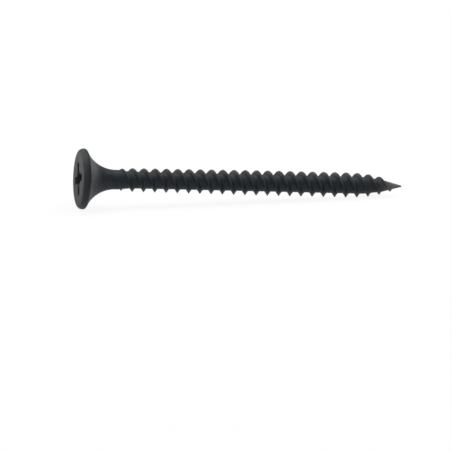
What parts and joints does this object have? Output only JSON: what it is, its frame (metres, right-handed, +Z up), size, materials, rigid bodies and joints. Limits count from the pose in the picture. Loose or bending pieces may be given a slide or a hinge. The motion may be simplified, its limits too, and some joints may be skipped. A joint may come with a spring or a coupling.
{
  "type": "drywall screw",
  "caption": "Bugle-head drywall screw with a cross recess, a twin-start thread and a sharp point, in black phosphated steel.",
  "frame": {"origin": "middle of the bounding box at floor level, with the screw lying as it comes to rest on the rim of its head and a crest of its thread", "axes": "+X from the head towards the point, along the screw's length seen from above; +Z up; the screw's own axis dips towards the point by 3.71 degrees"},
  "size_m": [0.0552, 0.01, 0.0101],
  "materials": {
    "phosphated_steel": "black phosphate over hardened steel wire, satin and slightly mottled, a little lighter on the crests and the point"
  },
  "bodies": {
    "root": {"drywall_screw": "phosphated_steel"}
  },
  "joints": []
}
